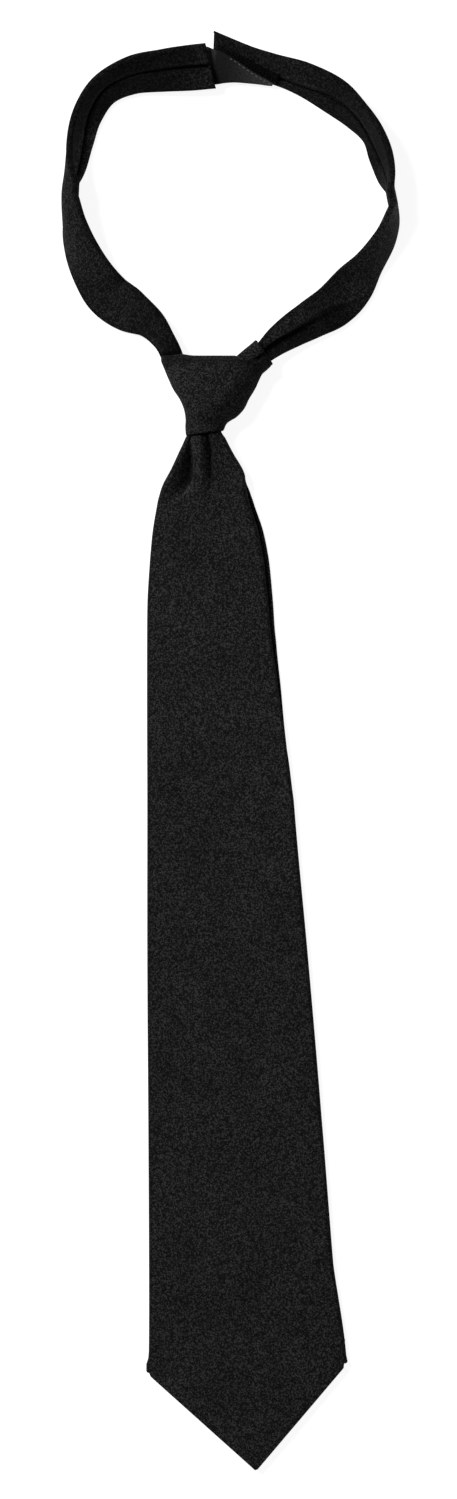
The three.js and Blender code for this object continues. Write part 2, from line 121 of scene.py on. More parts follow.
# A sheet of cloth. place(i, j) gives a point and a tone that scales the cloth's colour there, mostly
# painted light and shade, and the cloth's thickness goes inwards from that outer side. Its UV map is
# in millimetres along the cloth. A closed sheet is a tube, and its last column meets its first. A
# straight one runs down y.
def clothSheet(name, along, across, place, thickness, turned=False, closed=False, straight=False):
    bm = bmesh.new()
    bmesh.ops.create_grid(bm, x_segments=along, y_segments=across, size=0.5)
    bm.verts.index_update()
    toneLayer = bm.verts.layers.float.new("tone")
    uvLayer = bm.loops.layers.uv.new("cloth")
    grid = {}
    for vert in bm.verts:
        i = round((vert.co.x + 0.5) * along)
        j = round((vert.co.y + 0.5) * across)
        point, vert[toneLayer] = place(i, j)
        vert.co = point * mm
        grid[i, j] = vert.index, point
    flat = {}
    level = Vector((1, 0 if straight else 1, 1))
    middle, down = across // 2, 0
    for i in range(along + 1):
        if i:
            steps = [(grid[i, j][1] - grid[i - 1, j][1]).length for j in range(across + 1)]
            down += sum(steps) / len(steps)
        over = [0]
        for j in range(1, across + 1):
            over.append(over[-1] + ((grid[i, j][1] - grid[i, j - 1][1]) * level).length)
        for j in range(across + 1):
            index, point = grid[i, j]
            flat[index] = (over[j] - over[middle], -point.y if straight else down)
    for face in bm.faces:
        for loop in face.loops:
            loop[uvLayer].uv = flat[loop.vert.index]
    if closed:
        bmesh.ops.remove_doubles(bm, verts=bm.verts, dist=weld * mm)
    if turned:
        bmesh.ops.reverse_faces(bm, faces=bm.faces)
    piece = newObject(name, bm)
    wall = piece.modifiers.new("thickness", "SOLIDIFY")
    wall.thickness = thickness * mm
    wall.offset = -1
    return piece


# A piece's material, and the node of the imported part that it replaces, if any.
def dress(piece, material, node=None):
    piece.data.materials.append(material)
    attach(piece, "root")
    if node:
        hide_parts(node)


# Camera, light and floor

photo = dict(
    width=457, height=1499,  # pixels
    scale=0.41,  # millimetres a pixel
    centre=(-0.6, 1.0), distance=3000, sensor=36,
)
studio = dict(
    keyPlace=(-1000, 800, 1500), keySize=700, keyPower=36, keyColour="#ffffff",
    skyStrength=0.14, skyColour="#ffffff", backdropStrength=1.1,
    floorColour="#a8a8a8", floorGlow=0.9, floorSize=40000, floorDrop=0.3,
    floorRoughness=0.9, floorSpecular=0.1,
)


def makeCamera():
    camera = bpy.data.cameras.new("camera")
    camera.sensor_width = photo["sensor"]
    camera.lens = photo["sensor"] * photo["distance"] / (photo["height"] * photo["scale"])
    seen = bpy.data.objects.new("camera", camera)
    seen.location = Vector((*photo["centre"], photo["distance"])) * mm
    bpy.context.scene.collection.objects.link(seen)
    bpy.context.scene.camera = seen


def makeStudio():
    scene = bpy.context.scene
    scene.view_settings.view_transform = "Standard"
    world = bpy.data.worlds.new("studio")
    world.use_nodes = True
    tree = world.node_tree
    tree.nodes.clear()
    ray = addNode(tree, "ShaderNodeLightPath")  # the backdrop looks white and lights the cloth dimly
    strength = addNode(tree, "ShaderNodeMapRange",
                       {"To Min": studio["skyStrength"], "To Max": studio["backdropStrength"]},
                       {"Value": ray.outputs["Is Camera Ray"]})
    sky = addNode(tree, "ShaderNodeBackground", {"Color": hexColour(studio["skyColour"])},
                  {"Strength": strength.outputs["Result"]})
    addNode(tree, "ShaderNodeOutputWorld", links={"Surface": sky.outputs["Background"]})
    scene.world = world
    key = bpy.data.lights.new("softbox", "AREA")
    key.shape = "DISK"
    key.size = studio["keySize"] * mm
    key.energy = studio["keyPower"]
    key.color = hexColour(studio["keyColour"])[:3]
    lamp = bpy.data.objects.new("softbox", key)
    lamp.location = Vector(studio["keyPlace"]) * mm
    lamp.rotation_mode = "QUATERNION"
    lamp.rotation_quaternion = (-lamp.location).to_track_quat("-Z", "Y")
    scene.collection.objects.link(lamp)
    bm = bmesh.new()
    bmesh.ops.create_grid(bm, x_segments=1, y_segments=1, size=studio["floorSize"] * mm / 2)
    floor = newObject("floor", bm)
    floor.location.z = -studio["floorDrop"] * mm
    floor.data.materials.append(opalAcrylic("opal acrylic light table"))


# Materials

def addNode(tree, kind, inputs=None, links=None, **settings):
    node = tree.nodes.new(kind)
    for name, value in settings.items():
        setattr(node, name, value)
    for socket, value in (inputs or {}).items():
        node.inputs[socket].default_value = value
    for socket, source in (links or {}).items():
        tree.links.new(source, node.inputs[socket])
    return node


def emptyMaterial(name):
    material = bpy.data.materials.new(name)
    material.use_nodes = True
    material.node_tree.nodes.clear()
    return material, material.node_tree


# Opal acrylic, lit evenly from below, so that hardly a shadow stays on it.
def opalAcrylic(name):
    material, tree = emptyMaterial(name)
    shader = addNode(tree, "ShaderNodeBsdfPrincipled",
                     {"Base Color": hexColour(studio["floorColour"]),
                      "Roughness": studio["floorRoughness"],
                      "Specular IOR Level": studio["floorSpecular"],
                      "Emission Color": (1, 1, 1, 1), "Emission Strength": studio["floorGlow"]})
    addNode(tree, "ShaderNodeOutputMaterial", links={"Surface": shader.outputs["BSDF"]})
    return material


# Nylon loop tape: a smooth grey knit under a very fine pile, which spreads the light.
greyLoops = dict(
    dark="#1c1c1c", pale="#393939",
    pile=0.7,  # millimetres, coarser than the real loops of 0.2 so that they show
    rib=0.9, ribWander=0.6, ribShare=0.25, darkAt=0.4, paleAt=0.85,
    roughness=0.85, specular=0.15, bump=0.35, relief=0.12,
)

# Spun polyester thread: pale and slightly glossy.
paleThread = dict(colour="#606060", ply=0.25, roughness=0.55, bump=0.3, relief=0.05)

# Woven polyester, dyed black: dull, of yarns in slightly different shades. The pale specks in its
# colour are painted highlights where the yarns' tops catch the light.
blackCloth = dict(
    dark="#101010", middle="#1f1f1f", pale="#444444", darkAt=0.24, middleAt=0.5, paleAt=0.8,
    thread=0.5,  # millimetres; the real threads are about 0.3 apart, too fine to show
    bias=45,  # degrees, as a tie's cloth is cut
    gap=0.5,  # painted shade between the threads, against 1 on their tops
    speck=0.9, speckShare=0.5,  # size of the blotches in the yarns' shades
    cloud=18, cloudShare=0.12, cloudLow=0.3, cloudHigh=0.7,  # faint clouds in the dye
    roughness=0.9, specular=0.06, bump=0.45, relief=0.16,
)

# Nylon hook tape: a dark, stiff ground, rough with the feet of its hooks.
blackHooks = dict(
    blackCloth, dark="#070707", middle="#131313", pale="#3a3a3a", thread=0.9, bias=0,
    speck=1.2, speckShare=0.6, cloud=9, cloudShare=0.2,
    roughness=0.8, specular=0.08, bump=0.8, relief=0.3,
)


# Relief, shader and output of a material.
def finish(tree, look, height, inputs, links):
    bump = addNode(tree, "ShaderNodeBump",
                   {"Strength": look["bump"], "Distance": look["relief"] * mm}, {"Height": height})
    shader = addNode(tree, "ShaderNodeBsdfPrincipled", {"Roughness": look["roughness"], **inputs},
                     {"Normal": bump.outputs["Normal"], **links})
    addNode(tree, "ShaderNodeOutputMaterial", links={"Surface": shader.outputs["BSDF"]})


# Cloth whose colour is a ramp's, scaled by a tone.
def finishCloth(tree, look, ramp, tone, height):
    colour = addNode(tree, "ShaderNodeVectorMath", links={0: ramp.outputs["Color"]}, operation="SCALE")
    tree.links.new(tone, colour.inputs["Scale"])
    finish(tree, look, height, {"Specular IOR Level": look["specular"]},
           {"Base Color": colour.outputs["Vector"]})


def rampOf(tree, look, source):
    ramp = addNode(tree, "ShaderNodeValToRGB", links={"Fac": source})
    for stop, shade in zip(ramp.color_ramp.elements, ("dark", "pale")):
        stop.position, stop.color = look[shade + "At"], hexColour(look[shade])
    return ramp


# Noise of a size in millimetres.
def noiseOf(tree, places, size, **inputs):
    node = addNode(tree, "ShaderNodeTexNoise", {"Scale": 1 / (size * mm), "Detail": 2.0, **inputs},
                   {"Vector": places.outputs["Object"]})
    return node.outputs["Fac"]


def product(tree, first, second):
    node = addNode(tree, "ShaderNodeMath", links={0: first, 1: second}, operation="MULTIPLY")
    return node.outputs["Value"]


# Warp and weft pass over each other by turns, so each crossing is a short rounded length of one.
def wovenPolyester(name, look):
    material, tree = emptyMaterial(name)
    places = addNode(tree, "ShaderNodeTexCoord")
    # tone carries the pieces' painted light and shade, and scales the colour.
    tone = addNode(tree, "ShaderNodeAttribute", attribute_name="tone")
    turned = addNode(tree, "ShaderNodeMapping", {"Rotation": (0, 0, math.radians(look["bias"]))},
                     {"Vector": places.outputs["UV"]})
    threads = addNode(tree, "ShaderNodeMapping", {"Scale": (1 / look["thread"], 1 / look["thread"], 1)},
                      {"Vector": turned.outputs["Vector"]}).outputs["Vector"]
    aThread = math.pi / 10  # the wave texture's scale for one wave a unit
    warp, weft = (addNode(tree, "ShaderNodeTexWave", {"Scale": aThread}, {"Vector": threads},
                          bands_direction=way).outputs["Fac"] for way in ("X", "Y"))
    onTop = addNode(tree, "ShaderNodeTexChecker", {"Scale": 1.0}, {"Vector": threads})
    weave = addNode(tree, "ShaderNodeMix",
                    links={"Factor": onTop.outputs["Fac"], "A": warp, "B": weft}).outputs["Result"]
    crossing = addNode(tree, "ShaderNodeVectorMath", links={0: threads}, operation="FLOOR")
    shades = addNode(tree, "ShaderNodeTexWhiteNoise", links={"Vector": crossing.outputs["Vector"]},
                     noise_dimensions="2D")
    specks = noiseOf(tree, places, look["speck"], Roughness=0.6)
    clouds = noiseOf(tree, places, look["cloud"])
    yarn = addNode(tree, "ShaderNodeMix", {"Factor": look["speckShare"]},
                   {"A": shades.outputs["Value"], "B": specks})
    ramp = rampOf(tree, look, yarn.outputs["Result"])
    ramp.color_ramp.elements.new(look["middleAt"]).color = hexColour(look["middle"])
    shade = addNode(tree, "ShaderNodeMapRange",
                    {"From Min": look["cloudLow"], "From Max": look["cloudHigh"],
                     "To Min": 1 - look["cloudShare"], "To Max": 1 + look["cloudShare"]},
                    {"Value": clouds})
    # The colour is darker between the threads: painted shade in the weave's grooves.
    grooveShade = addNode(tree, "ShaderNodeMapRange", {"To Min": look["gap"]}, {"Value": weave})
    toned = product(tree, shade.outputs["Result"], tone.outputs["Fac"])
    finishCloth(tree, look, ramp, product(tree, toned, grooveShade.outputs["Result"]), weave)
    return material


def knittedLoops(name, look):
    material, tree = emptyMaterial(name)
    places = addNode(tree, "ShaderNodeTexCoord")
    # tone carries the loop tape's painted light and shade, and scales the colour.
    tone = addNode(tree, "ShaderNodeAttribute", attribute_name="tone")
    pile = noiseOf(tree, places, look["pile"])
    ribs = addNode(tree, "ShaderNodeMapping", {"Scale": (1 / look["rib"],) * 3},
                   {"Vector": places.outputs["UV"]})
    rib = addNode(tree, "ShaderNodeTexWave",
                  {"Scale": 0.5, "Distortion": look["ribWander"], "Detail": 1.0},
                  {"Vector": ribs.outputs["Vector"]}, bands_direction="Y")
    level = addNode(tree, "ShaderNodeMath", {1: look["ribShare"]},
                    {0: rib.outputs["Fac"], 2: pile}, operation="MULTIPLY_ADD")
    height = level.outputs["Value"]
    finishCloth(tree, look, rampOf(tree, look, height), tone.outputs["Fac"], height)
    return material


def spunThread(name, look):
    material, tree = emptyMaterial(name)
    places = addNode(tree, "ShaderNodeTexCoord")
    ply = addNode(tree, "ShaderNodeTexWave", {"Scale": 0.5 / (look["ply"] * mm), "Distortion": 0.5},
                  {"Vector": places.outputs["Object"]})
    finish(tree, look, ply.outputs["Fac"], {"Base Color": hexColour(look["colour"])}, {})
    return material


# The blade: one sheet, folded to an envelope with its seam down the back

bladeRows = table(
    "y left right under back thick",
    (146, -16.6, -4.2, 0, 4.6, 7),
    (138, -16.6, -4, 0, 4.4, 7.2),
    (131.5, -16.8, -3.8, 0, 4.2, 7.4),
    (128.2, -18.4, -1.7, 0, 3.7, 8),
    (121.8, -21.3, 1.6, 0, 2.8, 8),
    (115.6, -24.2, 5.3, 0, 1.9, 7.6),
    (109.5, -27.5, 7.4, 0.6, 1.2, 7),
    (103.3, -29.5, 9.4, 1.7, 0.7, 6.4),
    (91, -31.6, 13.5, 2.1, 0.2, 5.6),
    (78.7, -32.8, 16, 2.2, 0, 5),
    (62.3, -33.8, 17.6, 2, 0, 4.6),
    (45.9, -34, 18.9, 1.7, 0, 4.4),
    (13.1, -34, 22.5, 0.6, 0, 4.2),
    (-20, -33.9, 26.2, 0, 0, 4.1),
    (-85.3, -33.9, 32.1, 0, 0, 4),
    (-150, -33.5, 37.6, 0, 0, 4),
    (-210, -33.2, 42.4, 0, 0, 4),
    (-247.5, -33.3, 47.7, 0, 0, 4),
    (-250.5, -34.3, 48.2, 0, 0, 4),
)

# The two valleys of the gathers: from x, where each is deepest, a long slope goes up to the left
# and a steep wall to the right.
# tone is the painted shade in each valley.
leftValley = table(
    "y x left right depth tone",
    (146, -16, 1.2, 0.5, 0.8, 1),
    (128.3, -16.2, 1.4, 0.5, 1, 1),
    (124.2, -15.9, 2.6, 0.6, 2.8, 0.8),
    (120.1, -15.6, 4.6, 0.7, 4.2, 0.6),
    (116.4, -15.7, 6.6, 0.8, 4.6, 0.4),
    (113.6, -15.9, 7.6, 1, 4.3, 0.3),
    (111.4, -16.4, 8.2, 1.2, 3.8, 0.3),
    (109, -17.8, 8.4, 1.8, 2.9, 0.35),
    (106.6, -20.6, 7, 2.6, 1.9, 0.5),
    (104, -23.6, 5.2, 3.6, 0.9, 0.75),
    (98, -25.5, 4, 4, 0, 1),
)
middleValley = table(
    "y x left right depth tone",
    (146, -9.6, 3, 0.5, 2.2, 1),
    (129.8, -9.2, 3.2, 0.5, 2.8, 0.9),
    (127, -8, 4.2, 0.5, 4.2, 0.7),
    (121, -7.4, 4.9, 0.6, 4.4, 0.65),
    (116, -7.2, 5, 0.7, 3.8, 0.6),
    (112, -7.4, 4.6, 0.9, 2.6, 0.5),
    (108.6, -7.9, 4, 1.4, 1.2, 0.65),
    (104, -8.4, 3.4, 2.4, 0.3, 0.9),
    (96, -8.8, 3, 2.4, 0, 1),
)

blade = dict(
    sheet=0.85, crown=0.5, seam=0.7,
    foldArcs=3, foldRows=7,  # the fold is made of three arcs of so many points
    frontColumns=72, flapColumns=12, sideColumns=9,
    sideRound=1.6,  # how far the rounded sides reach in
    ledge=1.8,  # height of the turned-under layer
    pocket=2.4, pocketRound=0.1,  # how far the fold above it reaches in, and its radius there
    underFrom=0.1, underFull=1.2,  # the fold opens as the layer comes out from one to the other
    straightRows=150, straightTo=-150, straightCrowding=0.75,  # rows are closer at the gathers
    tailRows=40,
    cornerLeft=(-34.2, -254.4), cornerRight=(48.2, -250.5), tip=(10.7, -294.6), apex=(5.2, -210.0),
    hem=9.0, hemFold=0.95, hemRows=8, rollRows=8,
    swell=0.16, swellLength=16.0,  # soft unevenness of the pressed cloth
    pinch=0.7, pinchFrom=126.6, pinchTo=130.2,  # the front sinks where it enters the knot
    gapShade=0.22, gapFrom=0.3, gapTo=1.1,  # painted shade just below the knot's lower rim
    edgeShade=0.6,  # painted shade on the pressed side folds
    slopeCurve=1.25, valleyShadeReach=0.5,  # a valley's painted shade is full from this share of its depth
    leftBesideLight=1.2, middleBesideShade=0.66,  # painted light on the right of the left valley, painted shade on the right of the middle one
    besideReach=6.0, besideDepth=2,
)


# Depth of the gathers' valleys at a point of the front, and the painted light and shade in and beside
# them.
def gathers(x, y):
    depth, tone = 0, 1
    for rows, beside in ((leftValley, blade["leftBesideLight"]), (middleValley, blade["middleBesideShade"])):
        if y > rows[-1]["y"]:
            row = rowWhere(rows, "y", y)
            if x < row["x"]:
                share = max(0, 1 - (row["x"] - x) / row["left"]) ** blade["slopeCurve"]
            else:
                share = 1 - smoothStep(x - row["x"], 0, row["right"])
                near = math.exp(-max(0, x - row["x"] - row["right"]) / blade["besideReach"])
                deep = clamp(row["depth"] / blade["besideDepth"])
                tone *= mix(1, beside, near * (1 - share) * deep)
            depth += max(0, row["depth"]) * share
            tone *= mix(1, row["tone"], min(1, share / blade["valleyShadeReach"]))
    return depth, tone


# The folded section at one y, from the seam round the right side, the front and the left side.
def bladeSection(y):
    row = rowWhere(bladeRows, "y", max(y, bladeRows[-1]["y"]))
    left, right, thick = row["left"], row["right"], row["thick"]
    low = max(0, row["back"])
    high = low + thick
    under = max(0, row["under"])
    side = min(thick / 2, blade["sideRound"])
    middle = (left + right) / 2
    n = blade["foldRows"]
    plain = arc(right - side, low + thick / 2, side, -90, 90, blade["foldArcs"] * n, thick / 2)
    ledge = low + blade["ledge"]
    tight = blade["pocketRound"]
    upper = (high - ledge) / 2 - tight
    front = right - max(under, blade["underFull"])
    inner = front - blade["pocket"]
    turned = arc(right - blade["ledge"] / 2, low + blade["ledge"] / 2, blade["ledge"] / 2, -90, 90, n)
    turned += arc(inner, ledge + tight, tight, -90, -270, n)
    turned += arc(front - upper, ledge + 2 * tight + upper, upper, -90, 90, n)
    share = smoothStep(under, blade["underFrom"], blade["underFull"])
    fold = [(mix(a[0], b[0], share), mix(a[1], b[1], share)) for a, b in zip(plain, turned)]
    fold[-1] = (fold[-1][0], high)
    frontFrom, frontTo = fold[-1][0], left + side
    path = line(middle + blade["seam"] / 2, right - side, low, blade["flapColumns"])[:-1] + fold
    for i in range(1, blade["frontColumns"]):
        s = i / blade["frontColumns"]
        x = mix(frontFrom, frontTo, s)
        arch = 4 * s * (1 - s)  # from 0 at the sides to 1 in the middle
        crown = blade["crown"] * arch
        uneven = noise.noise(Vector((x, y, 0)) / blade["swellLength"]) * blade["swell"]
        uneven *= min(1, 2 * arch)
        pinch = blade["pinch"] * smoothStep(y, blade["pinchFrom"], blade["pinchTo"])
        path.append((x, high + crown + uneven - pinch - gathers(x, y)[0]))
    path += arc(frontTo, low + thick / 2, side, 90, 270, blade["sideColumns"], thick / 2)
    path += line(frontTo, middle - blade["seam"] / 2, low, blade["flapColumns"])[1:]
    return path


def makeBlade():
    b = blade
    flap = b["flapColumns"]
    frontStart = flap + b["foldArcs"] * b["foldRows"] - 2
    frontEnd = frontStart + b["frontColumns"]
    left, right, tip, apex = (Vector(b[name]) for name in ("cornerLeft", "cornerRight", "tip", "apex"))
    base = bladeSection(right.y)
    across = len(base) - 1

    # The lowest y of a column, and how steep the edge is there.
    def bottom(j):
        x = base[j][0]
        if frontStart <= j <= frontEnd:
            a, c = (left, tip) if x < tip.x else (tip, right)
        elif j < flap - 1 or j >= frontEnd + b["sideColumns"]:
            a, c = (left, apex) if x < apex.x else (apex, right)
        else:
            return (left.y if x < 0 else right.y), 1
        edge = c - a
        return a.y + edge.y * clamp((x - a.x) / edge.x), edge.x / edge.length

    bottoms = [bottom(j) for j in range(len(base))]
    sections = {}

    def pointAt(j, y):
        key = round(y, 3)
        if key not in sections:
            sections[key] = bladeSection(y)
        path = sections[key]
        x, z = path[j]
        before, after = path[max(j - 1, 0)], path[min(j + 1, len(path) - 1)]
        normal = Vector((after[1] - before[1], 0, before[0] - after[0])).normalized()
        return Vector((x, y, z)), normal

    along = b["straightRows"] + b["tailRows"] + b["rollRows"] + b["hemRows"]
    top = bladeRows[0]["y"]

    def place(i, j):
        edge, slope = bottoms[j]
        radius = b["hemFold"]
        rollFrom = edge + radius / slope
        if i <= b["straightRows"]:
            share = i / b["straightRows"]
            y = mix(top, b["straightTo"], mix(share, share * share, b["straightCrowding"]))
            point, normal = pointAt(j, y)
        elif i <= b["straightRows"] + b["tailRows"]:
            y = mix(b["straightTo"], rollFrom, (i - b["straightRows"]) / b["tailRows"])
            point, normal = pointAt(j, y)
        else:
            beyond = i - b["straightRows"] - b["tailRows"]
            turn = math.pi * clamp(beyond / b["rollRows"])
            back = b["hem"] * clamp((beyond - b["rollRows"]) / b["hemRows"])
            point, normal = pointAt(j, rollFrom)
            point = point - normal * radius * (1 - math.cos(turn))
            point.y += (back - radius * math.sin(turn)) / slope
        # Painted shade just below the knot's rim, painted light and shade in and beside the valleys,
        # and painted shade on the side folds.
        tone = mix(b["gapShade"], 1, smoothStep(knotRim(point.x) - point.y, b["gapFrom"], b["gapTo"]))
        if frontStart <= j <= frontEnd:
            tone *= gathers(point.x, point.y)[1]
        elif flap < j < frontEnd + b["sideColumns"]:
            tone *= b["edgeShade"]
        return point, tone

    piece = clothSheet("blade_cloth", along, across, place, b["sheet"], turned=True, straight=True)
    dress(piece, cloth, "blade")
    print("blade")
    return piece


# The neckbands: ribbons folded so that the cloth's edges meet along the middle of the inner
# face. across is the width seen from above, positive where the edge nearer the head faces the
# inside of the loop and negative past the half turn. bow is the cupping and lift the height of
# the lower edge.

leftRows = table(
    "x y across width bow lift",
    (-19, 151.4, 7.2, 8.2, 0, 6),
    (-21.7, 156.6, 7.4, 8.2, 0.3, 5.8),
    (-24.2, 161.8, 8.4, 9.2, 0.6, 5.2),
    (-27.4, 167.9, 8.9, 10.2, 0.9, 4),
    (-33, 175.2, 12.8, 14.2, 1, 2.4),
    (-41.8, 181, 18.2, 18.8, 0.7, 1),
    (-50, 187.2, 18.8, 19, 0.5, 0.2),
    (-56.2, 195.4, 16.9, 19, 0.9, 0),
    (-61.2, 205, 14.2, 19, 1.6, 0),
    (-64.8, 216, 10.2, 19, 2.6, 0),
    (-65.5, 227, 3.6, 19, 4, 0),
    (-64.4, 237.6, -6.6, 19, 3.2, 0),
    (-62.2, 249.6, -10.8, 19, 2, 0),
    (-58.8, 260.9, -12, 19, 1.4, 0),
    (-51.8, 271, -12.6, 19, 1, 0.4),
    (-40.2, 276.8, -14.8, 19, 0.5, 2),
    (-27, 278.6, -17, 19, 0.2, 4.4),
    (-16.2, 279.6, -18.4, 19, 0, 6.2),
    (-7.9, 280.5, -18.8, 19, 0, 6.3),
)
rightRows = table(
    "x y across width bow lift",
    (4.6, 155.6, 8.6, 9.6, 0, 5.6),
    (9.2, 159.2, 9, 10, 0.2, 5.6),
    (14.4, 162.8, 10, 11.4, 0.4, 4.8),
    (20.4, 167.6, 12.6, 14.2, 0.4, 3.4),
    (26.8, 171.8, 14.7, 16.4, 0.4, 2.2),
    (34.2, 176.2, 16.7, 18.2, 0.4, 1.4),
    (43, 182.2, 18.3, 19, 0.4, 0.6),
    (50.8, 190.4, 17.2, 19, 0.4, 0),
    (57.2, 199.4, 12.2, 19, 0.8, 0),
    (64.2, 210.4, 9.2, 19, 1, 0),
    (66.9, 220.4, 5.8, 19, 0.8, 0),
    (66.1, 227.4, -0.6, 19, 0.8, 0),
    (64.5, 234.2, -6.8, 19, 0.8, 0),
    (62.2, 243.4, -9.6, 19, 0.8, 0),
    (58.8, 252.4, -9.2, 19, 0.6, 0),
    (52.2, 260.2, -11.4, 19, 0.4, 0),
    (42.4, 268.6, -14.4, 18.4, 0.2, 0),
    (30, 275.4, -13.2, 16.8, 0, 0),
    (16.6, 279.9, -11.8, 14.2, 0, 0),
    (4.6, 282.6, -14.6, 15.8, 0, 0),
    (-6.9, 284.9, -20.6, 20.8, 0, 0),
)

# Folds of a band at the same rows, to the last that has any. It bends down on both sides of the
# crease at ridgeAt, by ridge from there to its edge, and sinks by fold at foldAt, where -1 is the
# lower edge and 1 the head edge. dark is the painted shade below the crease.
leftFolds = table(
    "ridge ridgeAt fold foldAt dark",
    (0, -0.6, 0, 0, 0),
    (0.4, -0.6, 0, 0, 0),
    (0.9, -0.6, 0.3, 0.1, 0),
    (0.7, -0.6, 0.5, 0, 0),
    (0.2, -0.6, 0.5, -0.1, 0),
    (0, -0.6, 0.4, -0.2, 0),
    (0, -0.6, 0, -0.2, 0),
)
rightFolds = table(
    "ridge ridgeAt fold foldAt dark",
    (0.4, 0.8, 0.6, 0.44, 0.2),
    (0.8, 0.8, 1.2, 0.42, 0.4),
    (1.2, 0.8, 2, 0.38, 0.5),
    (1.8, 0.55, 2.3, 0.15, 0.5),
    (2.2, 0.38, 2.3, 0.03, 0.5),
    (2.4, 0.38, 1.7, 0, 0.35),
    (2.2, 0.2, 1, -0.2, 0.25),
    (1.2, -0.6, 0.4, -0.9, 0.2),
    (0.2, -0.9, 0, -1, 0),
    (0, -0.9, 0, -1, 0),
)

# Painted light and shade of a band at the same rows, shade below 1 and highlight above: the tone of
# the outer face at its lower and head edges, and of the inner face at the same, and where across the
# seam lies.
leftFaceShading = table(
    "low head innerLow innerHead seamAt",
    (0.85, 0.8, 0.4, 0.4, 0),
    (0.62, 0.3, 0.4, 0.4, 0),
    (0.44, 0.19, 0.4, 0.4, 0),
    (0.5, 0.46, 0.4, 0.4, 0),
    (0.48, 0.4, 0.4, 0.4, 0),
    (0.7, 0.42, 0.4, 0.4, 0),
    (0.6, 0.72, 0.4, 0.4, 0),
    (0.64, 0.78, 0.4, 0.4, 0),
    (0.74, 0.74, 0.4, 0.4, 0),
    (1, 0.7, 0.5, 0.4, -0.2),
    (0.6, 0.64, 1.1, 0.4, -0.6),
    (0.5, 0.7, 2.2, 0.3, -0.7),
    (0.7, 0.8, 2, 0.24, -0.5),
    (0.8, 0.8, 0.95, 0.3, -0.2),
    (0.8, 0.8, 0.56, 0.42, 0),
    (0.8, 0.8, 0.32, 0.32, 0),
    (0.8, 0.8, 0.28, 0.28, 0.05),
    (0.8, 0.8, 0.42, 0.32, 0.05),
    (0.8, 0.8, 0.8, 0.8, 0),
)
rightFaceShading = table(
    "low head innerLow innerHead seamAt",
    (0.55, 0.68, 0.5, 0.5, 0),
    (0.48, 0.95, 0.5, 0.5, 0),
    (0.85, 0.8, 0.5, 0.5, 0),
    (0.85, 0.84, 0.5, 0.5, 0),
    (0.65, 0.8, 0.5, 0.5, 0),
    (0.6, 0.6, 0.5, 0.5, 0),
    (0.5, 0.42, 0.5, 0.5, 0),
    (1.4, 0.38, 0.5, 0.5, 0),
    (0.9, 1.1, 0.5, 0.5, 0),
    (0.8, 1.7, 0.5, 0.5, 0.2),
    (0.9, 2.1, 0.5, 0.5, 0.4),
    (1.1, 1.1, 0.4, 0.4, 0.4),
    (0.8, 0.8, 0.5, 0.5, 0.2),
    (0.8, 0.8, 0.24, 0.24, -0.25),
    (0.8, 0.8, 0.38, 0.35, -0.45),
    (0.8, 0.8, 0.4, 0.42, -0.05),
    (0.8, 0.8, 0.34, 0.38, -0.1),
    (0.8, 0.8, 0.56, 0.6, -0.5),
    (0.8, 0.8, 0.56, 0.62, -0.5),
    (0.8, 0.8, 0.42, 0.42, -0.4),
    (0.8, 0.8, 0.34, 0.34, -0.3),
)

# side is 1 for the band on the left and -1 for the one on the right; slant cuts the end askew.
leftRibbon = dict(rows=leftRows, folds=leftFolds, faces=leftFaceShading, side=1, slant=-0.12)
rightRibbon = dict(rows=rightRows, folds=rightFolds, faces=rightFaceShading, side=-1, slant=0.16)

band = dict(
    thick=3.0, sheet=0.8, along=220,
    outerColumns=40, innerColumns=12, foldColumns=8,
    seam=0.035,  # half of the seam's gap, as a share of half the width
    seamRoll=0.7, seamSpread=0.1,  # how the two edges turn in to the seam
    foldAbove=0.24, foldBelow=0.34, ridgeRound=0.04,  # breadths, as shares of half the width
    pressed=0.35, pressedOver=2.2,  # the sewn end is this share of the thickness
    seamShade=0.45, seamHighlight=1.4,  # painted shade in the seam, and a painted highlight on one of its edges
    ridgeHighlight=0.6, ridgeSpread=0.07,  # a painted highlight on a crease's top
    edgeShade=0.6,  # painted shade on the pressed edges
    shadeFrom=0.02, shadeFull=0.2,  # painted shade below a crease, as shares of half the width
    shadeEase=0.5, easeFrom=0.5, easeTo=1.3,  # the painted shade eases by this farther down
    shineFrom=2, shineTo=3,  # columns from the seam that get the painted highlight
    # painted shade where a band goes into the knot
    gapShade=0.16, gapFrom=0.5, gapTo=1.5, gapRows=4,
    swell=0.16, swellLength=11.0,
    step=0.05,  # of a row, to find the band's direction
)


# All columns of a ribbon at a row count. Folds and faces stop where their tables do.
def ribbonAt(ribbon, at):
    row = rowAt(ribbon["rows"], at)
    for name in ("folds", "faces"):
        row.update(rowAt(ribbon[name], clamp(at, 0, len(ribbon[name]) - 1)))
    return row


# Height of the band's middle layer at q, from -1 at its lower edge to 1 at its head edge.
def bandCurve(row, q):
    away = q - row["foldAt"]
    spread = band["foldAbove"] if away > 0 else band["foldBelow"]
    sunk = row["fold"] * math.exp(-(away / spread) ** 2)
    bend = row["ridge"] * (math.hypot(q - row["ridgeAt"], band["ridgeRound"]) - band["ridgeRound"])
    return row["bow"] * (0.5 - q * q) - sunk - bend


